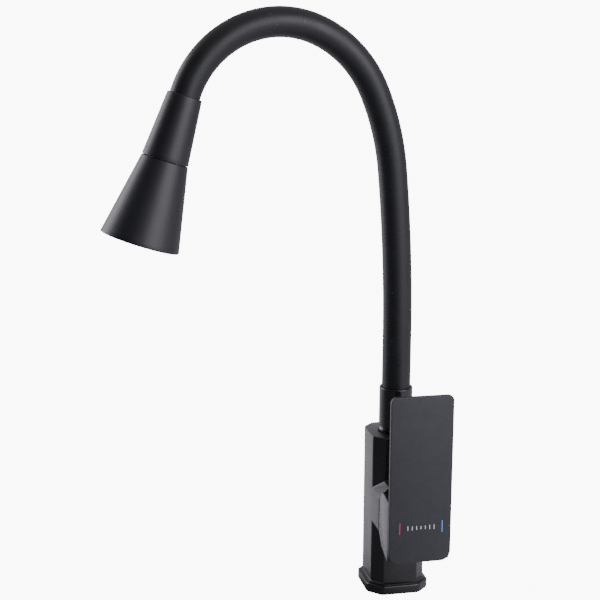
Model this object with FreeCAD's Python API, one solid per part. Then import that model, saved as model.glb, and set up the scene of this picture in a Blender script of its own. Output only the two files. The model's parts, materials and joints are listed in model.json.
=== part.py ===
import FreeCAD, Part
import math
import os

# Side-lever mixer tap with a bendable gooseneck spout. Millimetres, +Z up. The origin is the middle of the
# base face, on the column's axis. The lever is on +X and the user stands towards -Y.

Vector = FreeCAD.Vector
X_AXIS = Vector(1, 0, 0)
Y_AXIS = Vector(0, 1, 0)
Z_AXIS = Vector(0, 0, 1)
REACH = 120.0  # longer than any section is wide, for cutting tools and prisms

# clearances
running_gap = 0.05  # radial, a pin or shaft that turns in its own hole
free_gap = 0.3  # between curved faces that move past each other
seat_gap = 0.1  # radial, pieces pushed together by hand
face_gap = 0.1  # between discs that turn face to face

# cartridge, a standard 35 mm one, lying along +X in the side boss
cartridge_radius = 17.5
cartridge_length = 22.0
cartridge_wall = 1.7
cartridge_base_thick = 3.4
cartridge_neck_radius = 11.0
disc_thick = 4.0
disc_port_radius = 2.4
disc_port_pitch = 7.0
moving_disc_radius = 11.5
carrier_disc_thick = 6.5
nut_thread_depth = 0.9
nut_thick = 4.0
nut_hole_radius = 13.0
nut_key_width = 3.0
nut_key_depth = 1.5
seal_thick = 1.2
seal_outer_radius = 3.4
stem_radius = 3.0
stem_ball_radius = 4.0
stem_foot_radius = 2.4
stem_foot_reach = 9.0
stem_reach = 28.0
stem_pin_radius = 1.5
stem_swing_room = 2.6  # above and below the stem in the slots it rocks in

# column and boss, one chamfered square section
section_wall = 3.0
section_chamfer = 8.0
edge_ease = 0.3
column_height = 129.2
boss_height = 73.1
boss_end = 35.3
seat_x = 7.0

# base moulding
band_height = 7.4
band_overhang = 3.6
band_round = 1.0
step_depth = 0.7
step_height = 0.9
cove_radius = 2.4

# underside
hose_well_radius = 16.0
hose_well_depth = 40.0
hose_thread_radius = 4.5
hose_thread_depth = 9.0
hose_port_pitch = 8.5
hose_port_x = 0.5
hose_channel_radius = 3.4
stud_radius = 4.0
stud_depth = 12.0
stud_x = -9.5
seal_groove_radius = 20.3
seal_groove_width = 2.6
seal_groove_depth = 1.8
outlet_radius = 4.5

# lever
lever_gap = 0.8
lever_wall = 3.2
block_end = 71.4
block_drop = 2.3
block_flare = 2.6
block_rise = 1.1
pivot_from_face = 3.0
pivot_from_corner = 2.2
hinge_pin_radius = 1.2
ear_radius = 2.2
ear_thick = 3.0
ear_pitch = 8.5
rocker_thick = 1.6
ear_slot_gap = 0.4
hinge_pin_wall = 2.0
block_mouth_low = 6.0
block_mouth_high = 2.0
lever_tilt_limit = 20.0
plate_thick = 3.6
plate_height = 130.3
plate_bottom_round = 8.0
plate_top_round = 4.5
plate_bevel = 0.5
mark_thick = 0.15
mark_width = 1.3
mark_height = 9.5
mark_from_bottom = 23.2
hot_mark_y = -15.9
cold_mark_y = 17.1
tick_count = 7
tick_width = 0.9
tick_height = 2.6
tick_growth = 0.4
tick_pitch = 3.4
bush_radius = 6.5
bush_mouth_back = 5.5
plate_screw_radius = 2.0
plate_screw_pitch = 26.0

# swivel and collar
collar_radius = 13.0
collar_height = 35.0
collar_flare = 0.7
collar_flare_height = 3.0
collar_foot_height = 1.0
collar_rim_round = 0.8
slip_ring_thick = 0.8
nipple_radius = 10.6
nipple_depth = 25.0
nipple_top = 10.0
groove_depth = 1.9
o_ring_thick = 1.8
o_ring_low = 5.0
o_ring_high = 19.0
lock_groove_height = 12.0
lock_screw_radius = 2.0

# neck: outside radii of the layers, then one arc per bendable stretch
sleeve_radius = 11.2
sleeve_wall = 2.5
armour_radius = 6.8
armour_bore = 4.6
ball_radius = 7.2
socket_length = 9.0
water_tube_wall = 1.2
straight_top = 205.0
arc_radii = (1290.0, 195.5, 89.0, 74.5, 74.5)
arc_turns = (5.8, 18.4, 42.8, 47.2, 47.1)
neck_bend_limit = 10.0
spout_turn = 9.0

# head, along its own axis from its top rim
head_rim_radius = 12.8
upper_cone_length = 47.5
seam_radius = 17.2
seam_gap = 0.6
lower_cone_length = 61.5
mouth_radius = 29.4
upper_wall = 2.2
lower_wall = 2.4
sleeve_in_head = 6.0
web_top = 37.5
web_thick = 3.0
spigot_radius = 8.0
spigot_top = 10.0
spigot_bore = 5.7
spigot_flange_radius = 12.5
spigot_flange_thick = 2.5
link_in_head = 13.0
neck_nut_radius = 11.0
neck_nut_thick = 7.0
valve_length = 11.0
port_disc_radius = 13.6
port_disc_thick = 2.4
port_radius = 1.1
port_pitch = 4.5
port_count = 3
spindle_radius = 3.0
spindle_length = 13.0
stop_pin_radius = 1.2
stop_pin_pitch = 10.5
mode_turn_limit = 90.0
clip_radius = 6.0
clip_thick = 1.4
hub_length = 6.0
flow_wall = 2.0
flow_shoulder = 6.0
flow_taper = 4.5
face_thick = 3.0
face_recess = 2.0
aerator_radius = 10.4
aerator_wall = 1.6
aerator_proud = 0.6
nozzle_radius = 1.1
nozzle_bore = 0.35
nozzle_proud = 1.4
nozzle_rings = ((14.6, 12), (18.4, 18), (22.2, 24))

# worked out from the sizes above
cartridge_bore = cartridge_radius + seat_gap
mouth_bore = cartridge_bore + nut_thread_depth
section_half = mouth_bore + section_wall
nut_x = seat_x + cartridge_length
carrier_x = seat_x + cartridge_base_thick + 2 * disc_thick
neck_end_x = nut_x + nut_thick + free_gap
stem_pivot_x = nut_x - 1.0
block_start = boss_end + lever_gap
pivot_x = block_start + pivot_from_face
pivot_z = boss_height - (section_half - section_chamfer) + pivot_from_corner
plate_bottom = boss_height - section_half - block_drop - block_rise
plate_half = section_half + block_flare
plate_face = block_end + plate_thick
sleeve_bore = sleeve_radius - sleeve_wall
socket_radius = sleeve_bore - free_gap
sleeve_cut = sleeve_radius * math.tan(math.radians(neck_bend_limit / 2)) + 0.2
water_tube_radius = armour_bore - 2 * seat_gap
collar_bottom = column_height + slip_ring_thick
nipple_bottom = column_height - nipple_depth
head_length = upper_cone_length + seam_gap + lower_cone_length
turn_disc_top = web_top + web_thick + spigot_flange_thick + port_disc_thick + face_gap
face_bottom = head_length - face_recess


def cylinder(radius, start, end, axis=Z_AXIS):
    """Solid cylinder between two distances along an axis through the origin."""
    return Part.makeCylinder(radius, end - start, axis * start, axis)


def ring(outer, inner, start, end, axis=Z_AXIS):
    return cylinder(outer, start, end, axis).cut(cylinder(inner, start - 1, end + 1, axis))


def block(low, high):
    """Box from its lowest to its highest corner."""
    size = [b - a for a, b in zip(low, high)]
    return Part.makeBox(size[0], size[1], size[2], Vector(*low))


def prism(points, direction):
    """Straight prism on a closed polygon."""
    outline = Part.makePolygon([Vector(*p) for p in points] + [Vector(*points[0])])
    return Part.Face(outline).extrude(direction)


def moved(shape, x=0.0, y=0.0, z=0.0):
    copy = shape.copy()
    copy.translate(Vector(x, y, z))
    return copy


def turned(shape, angle, axis=Z_AXIS, centre=Vector(0, 0, 0)):
    copy = shape.copy()
    copy.rotate(centre, axis, angle)
    return copy


def revolved(profile, axis=Z_AXIS):
    """Solid of revolution about Z from (radius, height) points, laid along another axis if one is given."""
    points = [Vector(r, 0, h) for r, h in profile]
    solid = Part.Face(Part.makePolygon(points + points[:1])).revolve(Vector(0, 0, 0), Z_AXIS, 360)
    if axis is X_AXIS:
        solid.rotate(Vector(0, 0, 0), Y_AXIS, 90)
    return solid


def fused(shapes):
    return shapes[0].multiFuse(shapes[1:]).removeSplitter()


def save(name, shape):
    shape.exportStep(os.path.join("parts", name + ".step"))


def section_directions():
    """Angle and distance of each pair of faces of the chamfered square, with the eased corners between."""
    diagonal = (2 * section_half - section_chamfer) / math.sqrt(2)
    corner = math.hypot(section_half, section_half - section_chamfer)
    bearing = math.atan2(section_half - section_chamfer, section_half)
    faces = [(0.0, section_half), (45.0, diagonal), (90.0, section_half), (135.0, diagonal)]
    for quarter in (22.5, 67.5, 112.5, 157.5):
        eased = corner * math.cos(math.radians(22.5) - bearing) - edge_ease
        faces.append((quarter, eased))
    return faces


def column_outline(distance):
    """Closed side view of the column and its base moulding, as wide as distance each way."""
    out = distance + band_overhang
    step = out - band_round - step_depth
    cove_top = band_height + step_height + cove_radius
    low_mid = band_round * (1 - math.sqrt(0.5))
    top_mid = band_height - low_mid
    cove_in = distance + cove_radius * (1 - math.sqrt(0.5))
    cove_z = cove_top - cove_radius * math.sqrt(0.5)
    ledge = band_height + step_height

    def point(u, z):
        return Vector(u, -REACH, z)

    def line(a, b):
        return Part.makeLine(point(*a), point(*b))

    def arc(a, mid, b):
        return Part.Arc(point(*a), point(*mid), point(*b)).toShape()

    side = [
        line((0, 0), (out - band_round, 0)),
        arc((out - band_round, 0), (out - low_mid, low_mid), (out, band_round)),
        line((out, band_round), (out, band_height - band_round)),
        arc((out, band_height - band_round), (out - low_mid, top_mid), (out - band_round, band_height)),
        line((out - band_round, band_height), (step, band_height)),
        line((step, band_height), (step, ledge)),
        line((step, ledge), (distance + cove_radius, ledge)),
        arc((distance + cove_radius, ledge), (cove_in, cove_z), (distance, cove_top)),
        line((distance, cove_top), (distance, column_height - edge_ease)),
        line((distance, column_height - edge_ease), (distance - edge_ease, column_height)),
        line((distance - edge_ease, column_height), (0, column_height)),
    ]
    other = [edge.mirror(Vector(0, 0, 0), X_AXIS) for edge in side]
    return Part.Wire(Part.__sortEdges__(side + other))


def column_solid():
    """The moulded column is what all pairs of faces leave between them."""
    solid = None
    for angle, distance in section_directions():
        slab = Part.Face(column_outline(distance)).extrude(Y_AXIS * (2 * REACH))
        slab = turned(slab, angle)
        solid = slab if solid is None else solid.common(slab)
    return solid


def section_prism(start, end, ease):
    """Chamfered square bar along +X, centred on the boss, with its far end eased."""
    solid = None
    for angle, distance in section_directions():
        half = [(start, 0), (start, distance), (end - ease, distance), (end, distance - ease), (end, 0)]
        whole = half + [(x, -u) for x, u in reversed(half[1:-1])]
        slab = prism([(x, u, -REACH) for x, u in whole], Z_AXIS * (2 * REACH))
        slab = turned(slab, angle, X_AXIS)
        solid = slab if solid is None else solid.common(slab)
    return moved(solid, z=boss_height)


def boss_axis(shape):
    """Lift a shape built about the X axis to the boss."""
    return moved(shape, z=boss_height)


def port_places():
    """Hot inlet, cold inlet and outlet of the cartridge, as y and z from its axis."""
    low = -disc_port_pitch * 0.5
    side = disc_port_pitch * math.sqrt(0.75)
    return [(-side, low), (side, low), (0.0, disc_port_pitch)]


def body_casting():
    body = column_solid().fuse(section_prism(0.0, boss_end, edge_ease))
    cuts = [boss_axis(cylinder(cartridge_bore, seat_x, boss_end + 1, X_AXIS))]
    cuts.append(boss_axis(cylinder(mouth_bore, nut_x, boss_end + 1, X_AXIS)))
    cuts.append(cylinder(hose_well_radius, -1, hose_well_depth))
    for side, (port_y, port_z) in zip((-1, 1), port_places()):
        port_height = boss_height + port_z
        hose_y = side * hose_port_pitch
        cuts.append(moved(cylinder(hose_thread_radius, hose_well_depth - 1,
                                   hose_well_depth + hose_thread_depth), hose_port_x, hose_y))
        channel = cylinder(hose_channel_radius, hose_well_depth + 1, port_height)
        cuts.append(moved(channel, hose_port_x, hose_y))
        port = cylinder(disc_port_radius, hose_port_x, seat_x + 1, X_AXIS)
        cuts.append(moved(port, 0, port_y, port_height))
    cuts.append(moved(cylinder(stud_radius, hose_well_depth - 1, hose_well_depth + stud_depth), stud_x))
    outlet_height = boss_height + disc_port_pitch
    cuts.append(moved(cylinder(disc_port_radius, -1, seat_x + 1, X_AXIS), z=outlet_height))
    cuts.append(cylinder(outlet_radius, outlet_height - outlet_radius / 2, column_height))
    cuts.append(cylinder(nipple_radius, nipple_bottom, column_height + 1))
    cuts.append(ring(seal_groove_radius + seal_groove_width / 2, seal_groove_radius - seal_groove_width / 2,
                     -1, seal_groove_depth))
    lock_height = nipple_bottom + lock_groove_height
    cuts.append(moved(cylinder(lock_screw_radius, 0, section_half + 1, Y_AXIS), z=lock_height))
    return body.cut(cuts)


def base_seal():
    half = seal_groove_width / 2
    return ring(seal_groove_radius + half, seal_groove_radius - half, 0, seal_groove_depth)


def swivel_screw():
    """Set screw at the back of the column, with its point in the nipple's groove."""
    point = nipple_radius - groove_depth + free_gap
    screw = cylinder(lock_screw_radius, point, section_half - 2.0, Y_AXIS)
    socket = turned(hexagon(lock_screw_radius * 0.6, section_half - 4.0, section_half), -90, X_AXIS)
    return moved(screw.cut(socket), z=nipple_bottom + lock_groove_height)


def hexagon(radius, start, end):
    """Hexagonal prism along +Z, sized by its corners."""
    corners = [math.radians(60 * k) for k in range(6)]
    points = [(radius * math.cos(a), radius * math.sin(a), start) for a in corners]
    return prism(points, Z_AXIS * (end - start))


# cartridge

def cartridge_ports(start, end, radius):
    return [moved(cylinder(radius, start, end, X_AXIS), 0, y, z) for y, z in port_places()]


def cartridge_base():
    end = seat_x + cartridge_base_thick
    plate = cylinder(cartridge_radius, seat_x, end, X_AXIS)
    cuts = cartridge_ports(seat_x - 1, end + 1, disc_port_radius)
    cuts += cartridge_ports(seat_x - 1, seat_x + seal_thick, seal_outer_radius)
    return boss_axis(plate.cut(cuts))


def cartridge_seals():
    """Three seals in the base's recesses, one round each port."""
    rings = [moved(ring(seal_outer_radius, disc_port_radius, seat_x, seat_x + seal_thick, X_AXIS), 0, y, z)
             for y, z in port_places()]
    return boss_axis(Part.makeCompound(rings))


def cartridge_housing():
    start = seat_x + cartridge_base_thick
    shell = cylinder(cartridge_radius, start, nut_x, X_AXIS)
    cuts = [cylinder(cartridge_radius - cartridge_wall, start - 1, nut_x - cartridge_wall, X_AXIS)]
    cuts.append(cylinder(cartridge_neck_radius + free_gap, start, nut_x + 1, X_AXIS))
    return boss_axis(shell.cut(cuts))


def fixed_disc():
    start = seat_x + cartridge_base_thick
    disc = cylinder(cartridge_radius - cartridge_wall - seat_gap, start, start + disc_thick, X_AXIS)
    return boss_axis(disc.cut(cartridge_ports(start - 1, start + disc_thick + 1, disc_port_radius)))


def moving_disc():
    """Sliding ceramic disc, with a mixing pocket under it and a seat for the stem's foot above."""
    start = seat_x + cartridge_base_thick + disc_thick + face_gap
    end = carrier_x - face_gap
    disc = cylinder(moving_disc_radius, start, end, X_AXIS)
    pocket = cylinder(moving_disc_radius - 2.5, start - 1, start + disc_thick * 0.25, X_AXIS)
    foot_x = stem_pivot_x - stem_foot_reach
    foot = cylinder(stem_foot_radius + free_gap, start + disc_thick * 0.45, foot_x + 5, X_AXIS)
    return boss_axis(disc.cut([pocket, foot]))


def stem_slot():
    """Room for the stem to rock in, through everything from the carrier outwards."""
    half_y = stem_radius + 2 * free_gap
    half_z = stem_radius + stem_swing_room
    return block((carrier_x - 1, -half_y, -half_z), (REACH, half_y, half_z))


def cartridge_carrier():
    """Turning cradle that holds the stem's pin. Its neck comes out through the housing."""
    outer = cartridge_radius - cartridge_wall - free_gap
    disc_end = min(carrier_x + carrier_disc_thick, nut_x - cartridge_wall - free_gap)
    solid = cylinder(outer, carrier_x, disc_end, X_AXIS)
    solid = solid.fuse(cylinder(cartridge_neck_radius, carrier_x, neck_end_x, X_AXIS))
    slot = stem_slot()
    pin_hole = moved(cylinder(stem_pin_radius, -REACH, REACH, Y_AXIS), x=stem_pivot_x)
    return boss_axis(solid.cut([slot, pin_hole]))


def stem_pin():
    half = cartridge_neck_radius - 1.5
    return boss_axis(moved(cylinder(stem_pin_radius, -half, half, Y_AXIS), x=stem_pivot_x))


def cartridge_stem():
    """Rocking stem: a foot in the moving disc, a pin hole, and a ball in the lever's bush."""
    foot_x = stem_pivot_x - stem_foot_reach
    ball_x = stem_pivot_x + stem_reach
    shaft = cylinder(stem_radius - 1.0, foot_x, stem_pivot_x, X_AXIS)
    shaft = shaft.fuse(cylinder(stem_radius, stem_pivot_x - 4.0, ball_x, X_AXIS))
    foot = Part.makeSphere(stem_foot_radius, Vector(foot_x, 0, 0))
    ball = Part.makeSphere(stem_ball_radius, Vector(ball_x, 0, 0))
    solid = fused([shaft, foot, ball])
    hole = moved(cylinder(stem_pin_radius + running_gap, -REACH, REACH, Y_AXIS), x=stem_pivot_x)
    return boss_axis(solid.cut(hole))


def cartridge_nut():
    """Threaded ring that clamps the cartridge, with four key slots."""
    nut_end = nut_x + nut_thick
    nut = ring(mouth_bore - seat_gap, nut_hole_radius, nut_x, nut_end, X_AXIS)
    slots = []
    for quarter in range(4):
        half = nut_key_width / 2
        slot = block((nut_end - nut_key_depth, -half, nut_hole_radius - 1), (nut_end + 1, half, REACH))
        slots.append(turned(slot, 90 * quarter + 45, X_AXIS))
    return boss_axis(nut.cut(slots))


# lever

def ear_sides():
    return [(side * ear_pitch - ear_thick / 2, side * ear_pitch + ear_thick / 2) for side in (-1, 1)]


def lever_rocker():
    """Disc on the carrier's neck, with the two ears that the lever is hinged on."""
    disc = boss_axis(cylinder(mouth_bore - 0.7, neck_end_x, neck_end_x + rocker_thick, X_AXIS))
    solids = [disc.cut(boss_axis(stem_slot()))]
    for low, high in ear_sides():
        solids.append(Part.makeCylinder(ear_radius, high - low, Vector(pivot_x, low, pivot_z), Y_AXIS))
        root_x = neck_end_x + rocker_thick / 2
        solids.append(block((root_x, low, pivot_z - ear_radius), (pivot_x, high, pivot_z + ear_radius)))
    hole = Part.makeCylinder(hinge_pin_radius, 2 * REACH, Vector(pivot_x, -REACH, pivot_z), Y_AXIS)
    return fused(solids).cut(hole)


def lever_hinge_pin():
    start = hinge_pin_wall - section_half
    return Part.makeCylinder(hinge_pin_radius, section_half - start, Vector(pivot_x, start, pivot_z), Y_AXIS)


def block_sections():
    """Cross-sections of the lever's block, as x, half width, lowest and highest z."""
    flat = section_half - section_chamfer
    chamfer_end = block_start + section_chamfer
    low = boss_height - section_half - block_drop
    high = boss_height + section_half
    return [
        (block_start, section_half, boss_height - flat, boss_height + flat),
        (chamfer_end, section_half, low, high),
        (block_end, section_half + block_flare, low - block_rise, high + block_rise),
    ]


def lever_block():
    """Hollow block of the lever. Its flat inner face keeps to the boss's face, and slots clear the ears."""
    wires = []
    for x, half, low, high in block_sections():
        corners = [(x, -half, low), (x, half, low), (x, half, high), (x, -half, high)]
        wires.append(Part.makePolygon([Vector(*c) for c in corners + corners[:1]]))
    solid = Part.makeLoft(wires, True, True)
    inner = section_half - lever_wall - 1.0
    inside_end = block_end - lever_wall
    flat = section_half - section_chamfer
    mouth_low = boss_height - flat + block_mouth_low
    mouth = block((0, -inner, mouth_low), (inside_end, inner, boss_height + flat - block_mouth_high))
    chamber_start = block_start + section_chamfer + 1.0
    chamber = block((chamber_start, -inner, boss_height - section_half + lever_wall),
                    (inside_end, inner, boss_height + section_half - lever_wall))
    cuts = [mouth, chamber]
    slot_half = ear_thick / 2 + ear_slot_gap
    slot_end = pivot_x + ear_radius + 0.5
    for side in (-1, 1):
        cuts.append(block((0, side * ear_pitch - slot_half, pivot_z - 2 * ear_radius - 1),
                          (slot_end, side * ear_pitch + slot_half, mouth_low + 1)))
    pin_start = Vector(pivot_x, hinge_pin_wall - running_gap - section_half, pivot_z)
    cuts.append(Part.makeCylinder(hinge_pin_radius + running_gap, REACH, pin_start, Y_AXIS))
    cuts += plate_screw_shafts(inside_end - 1, block_end + 1)
    return solid.cut(cuts)


def plate_screw_places():
    half = plate_screw_pitch / 2
    return [(-half, 0.0), (half, 0.0)]


def plate_screw_shafts(start, end):
    return [boss_axis(moved(cylinder(plate_screw_radius, start, end, X_AXIS), 0, y, z))
            for y, z in plate_screw_places()]


def plate_screws():
    """Two cap screws, driven from inside the block into the plate."""
    seat = block_end - lever_wall
    tip = block_end + plate_thick * 0.6
    screws = []
    for y, z in plate_screw_places():
        screw = cylinder(plate_screw_radius, seat, tip, X_AXIS)
        screw = screw.fuse(cylinder(1.8 * plate_screw_radius, seat - 2.4, seat, X_AXIS))
        socket = moved(turned(hexagon(plate_screw_radius * 0.8, 0, 2), 90, Y_AXIS), x=seat - 3)
        screws.append(moved(screw.cut(socket), 0, y, z))
    return boss_axis(Part.makeCompound(screws))


def stem_bush():
    """Plastic bush in the block, in which the stem's ball slides."""
    end = block_end - lever_wall
    mouth = stem_pivot_x + stem_reach - bush_mouth_back
    bush = ring(bush_radius, stem_ball_radius + free_gap, mouth, end - 2, X_AXIS)
    return boss_axis(bush.fuse(cylinder(bush_radius, end - 2, end, X_AXIS)))


def rounded_outline(x, half, low, high, low_round, high_round):
    """Upright rectangle at x with two corner radii, as a wire."""
    def corner(y, z, sign_y, sign_z, radius):
        inward_y = y - sign_y * radius
        inward_z = z - sign_z * radius
        mid = radius * math.sqrt(0.5)
        return (Vector(x, inward_y, z), Vector(x, inward_y + sign_y * mid, inward_z + sign_z * mid),
                Vector(x, y, inward_z))

    a = corner(half, low, 1, -1, low_round)
    b = corner(half, high, 1, 1, high_round)[::-1]
    c = corner(-half, high, -1, 1, high_round)
    d = corner(-half, low, -1, -1, low_round)[::-1]
    corners = [a, b, c, d]
    edges = []
    for here, after in zip(corners, corners[1:] + corners[:1]):
        edges.append(Part.Arc(*here).toShape())
        edges.append(Part.makeLine(here[2], after[0]))
    return Part.Wire(Part.__sortEdges__(edges))


def lever_plate():
    """Thin upright plate with a bevel round its outer face."""
    high = plate_bottom + plate_height
    flat_end = plate_face - plate_bevel
    outline = rounded_outline(block_end, plate_half, plate_bottom, high, plate_bottom_round, plate_top_round)
    slab = Part.Face(outline).extrude(X_AXIS * (flat_end - block_end))
    back = rounded_outline(flat_end, plate_half, plate_bottom, high, plate_bottom_round, plate_top_round)
    bevel = plate_bevel
    front = rounded_outline(plate_face, plate_half - bevel, plate_bottom + bevel, high - bevel,
                            plate_bottom_round - bevel, plate_top_round - bevel)
    solid = slab.fuse(Part.makeLoft([back, front], True, True))
    return solid.cut(plate_screw_shafts(block_end - 1, block_end + plate_thick * 0.6))


def mark_bar(y, width, low, high):
    return block((plate_face, y - width / 2, low), (plate_face + mark_thick, y + width / 2, high))


def side_mark(y):
    low = plate_bottom + mark_from_bottom
    return mark_bar(y, mark_width, low, low + mark_height)


def scale_marks():
    """Row of ticks that grow from the middle to both ends."""
    middle_y = (hot_mark_y + cold_mark_y) / 2
    middle_z = plate_bottom + mark_from_bottom + mark_height / 2
    ticks = []
    for k in range(tick_count):
        step = k - (tick_count - 1) / 2
        half = (tick_height + tick_growth * abs(step)) / 2
        ticks.append(mark_bar(middle_y + step * tick_pitch, tick_width, middle_z - half, middle_z + half))
    return Part.makeCompound(ticks)


# swivel and collar

def slip_ring():
    return ring(collar_radius - 0.6, nipple_radius, column_height, collar_bottom)


def spout_collar():
    """Tube that the neck stands in, flared at its foot and rounded at its rim."""
    inner = sleeve_radius + 2 * seat_gap
    foot = collar_radius + collar_flare
    top = collar_bottom + collar_height
    return revolved([
        (inner, collar_bottom), (foot, collar_bottom), (foot, collar_bottom + collar_foot_height),
        (collar_radius, collar_bottom + collar_flare_height), (collar_radius, top - collar_rim_round),
        (collar_radius - collar_rim_round, top), (inner, top),
    ])


def swivel_nipple():
    """Turned insert: O-ring and screw grooves in the column, and a head that the collar is pressed on."""
    turning = nipple_radius - running_gap
    nipple = cylinder(turning, nipple_bottom + 0.5, collar_bottom)
    nipple = nipple.fuse(cylinder(sleeve_radius + 2 * seat_gap, collar_bottom, collar_bottom + nipple_top))
    cuts = [cylinder(armour_bore, nipple_bottom - 1, collar_bottom + nipple_top + 1)]
    cuts.append(cylinder(armour_radius + seat_gap, collar_bottom + 3.0, collar_bottom + nipple_top + 1))
    for low in (o_ring_low, o_ring_high):
        start = nipple_bottom + low
        cuts.append(ring(nipple_radius + 1, turning - groove_depth, start, start + o_ring_thick + seat_gap))
    lock = nipple_bottom + lock_groove_height
    half = lock_screw_radius + free_gap
    cuts.append(ring(nipple_radius + 1, turning - groove_depth, lock - half, lock + half))
    return nipple.cut(cuts)


def swivel_seals():
    half = o_ring_thick / 2
    middle = nipple_radius - running_gap - half
    heights = [nipple_bottom + low + half for low in (o_ring_low, o_ring_high)]
    return Part.makeCompound([Part.makeTorus(middle, half, Vector(0, 0, z)) for z in heights])


# neck, built in the XZ plane with the spout towards +X, then turned to its place

def to_spout(shape):
    return turned(shape, spout_turn - 90)


def neck_stations():
    """Start of each arc and the end of the last one, as x, z and the angle of the tangent from upright."""
    x, z, angle = 0.0, straight_top, 0.0
    stations = [(x, z, angle)]
    for radius, turn in zip(arc_radii, arc_turns):
        a, b = math.radians(angle), math.radians(angle + turn)
        x += radius * (math.cos(a) - math.cos(b))
        z += radius * (math.sin(b) - math.sin(a))
        angle += turn
        stations.append((x, z, angle))
    return stations


def along(station, distance, sideways=0.0):
    """Point at a distance along the tangent at a station."""
    x, z, angle = station
    a = math.radians(angle)
    return Vector(x + distance * math.sin(a) + sideways * math.cos(a), 0,
                  z + distance * math.cos(a) - sideways * math.sin(a))


def heading(station):
    a = math.radians(station[2])
    return Vector(math.sin(a), 0, math.cos(a))


def straight_rod(station, radius, start, end):
    return Part.makeCylinder(radius, end - start, along(station, start), heading(station))


def arc_rod(index, radius, start, end):
    """Bent rod that follows one arc of the neck between two distances along it."""
    station = neck_stations()[index]
    bend = arc_radii[index]
    first = math.degrees(start / bend)
    sweep = math.degrees((end - start) / bend)
    disc = Part.Face(Part.Wire(Part.makeCircle(radius, along(station, 0), heading(station))))
    centre = along(station, 0, bend)
    return turned(disc.revolve(centre, Y_AXIS, sweep), first, Y_AXIS, centre)


def arc_length(index):
    return arc_radii[index] * math.radians(arc_turns[index])


def neck_sleeve(number):
    """Silicone cover of one stretch. Its ends stand clear of the joints by half of the bend's gap."""
    stations = neck_stations()
    if number == 1:
        start = collar_bottom + nipple_top
        solid = ring(sleeve_radius, sleeve_bore, start, straight_top - sleeve_cut)
        return to_spout(solid)
    index = number - 2
    last = number == len(stations)
    end = arc_length(index) - (0 if last else sleeve_cut)
    outer = arc_rod(index, sleeve_radius, sleeve_cut, end)
    inner = arc_rod(index, sleeve_bore, sleeve_cut, end)
    solid = outer.cut(inner)
    if last:
        tail = straight_rod(stations[-1], sleeve_radius, 0, sleeve_in_head)
        tail = tail.cut(straight_rod(stations[-1], sleeve_bore, -1, sleeve_in_head + 1))
        solid = solid.fuse(tail)
    return to_spout(solid)


def neck_link(number):
    """Rigid stretch of the armour: a socket at its start and a ball at its end."""
    stations = neck_stations()
    last = number == len(stations)
    if number == 1:
        start = collar_bottom + 3.0
        solid = cylinder(armour_radius, start, straight_top)
        bore = cylinder(armour_bore, start - 1, straight_top)
    else:
        index = number - 2
        length = arc_length(index)
        socket = arc_rod(index, socket_radius, 0, socket_length)
        solid = arc_rod(index, armour_radius, socket_length / 2, length).fuse(socket)
        bore = arc_rod(index, armour_bore, 0, length)
        solid = solid.cut(Part.makeSphere(ball_radius + free_gap, along(stations[index], 0)))
    end = stations[number - 1]
    tip_bore = armour_bore + seat_gap
    if last:
        solid = solid.fuse(straight_rod(end, armour_radius, 0, spigot_top + link_in_head))
        tip = straight_rod(end, tip_bore, 0, spigot_top + link_in_head + 1)
    else:
        solid = solid.fuse(Part.makeSphere(ball_radius, along(end, 0)))
        tip = straight_rod(end, tip_bore, 0, ball_radius + 1)
    return to_spout(solid.cut([bore, tip]))


def water_tube(number):
    """Drinking-water tube inside one link. It stops short of the next ball, which carries the water on."""
    stations = neck_stations()
    inner = water_tube_radius - water_tube_wall
    if number == 1:
        return to_spout(ring(water_tube_radius, inner, nipple_bottom + 1.0, straight_top))
    index = number - 2
    start = ball_radius
    end = arc_length(index)
    solid = arc_rod(index, water_tube_radius, start, end).cut(arc_rod(index, inner, start, end))
    if number == len(stations):
        reach = spigot_top + link_in_head + 2.0
        tail = straight_rod(stations[-1], water_tube_radius, 0, reach)
        solid = solid.fuse(tail.cut(straight_rod(stations[-1], inner, -1, reach + 1)))
    return to_spout(solid)


# head, built along +Z from its top rim, then laid on the end of the neck

def to_head(shape):
    station = neck_stations()[-1]
    copy = turned(shape, station[2], Y_AXIS)
    copy.translate(along(station, 0))
    return to_spout(copy)


def upper_radius(w):
    return head_rim_radius + (seam_radius - head_rim_radius) * w / upper_cone_length


def lower_radius(w):
    share = (w - upper_cone_length - seam_gap) / lower_cone_length
    return seam_radius + (mouth_radius - seam_radius) * share


def head_upper_cone():
    """Fixed upper cone, a shell with a web across it that the spigot is clamped to."""
    mouth = sleeve_radius + 2 * seat_gap
    inside_top = sleeve_in_head + 0.5
    web_end = web_top + web_thick
    end = upper_cone_length
    shell = revolved([
        (mouth, 0), (head_rim_radius - 0.5, 0), (head_rim_radius, 0.5), (upper_radius(end - 0.3), end - 0.3),
        (seam_radius - 0.3, end), (upper_radius(end) - upper_wall, end),
        (upper_radius(web_end) - upper_wall, web_end), (spigot_radius + seat_gap, web_end),
        (spigot_radius + seat_gap, web_top), (upper_radius(web_top) - upper_wall, web_top),
        (upper_radius(inside_top) - upper_wall + 0.9, inside_top), (mouth, inside_top),
    ])
    return to_head(shell)


def port_holes(start, end, turn=0.0):
    step = 360.0 / port_count
    hole = moved(cylinder(port_radius, start, end), x=port_pitch)
    return [turned(hole, turn + step * k) for k in range(port_count)]


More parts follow.
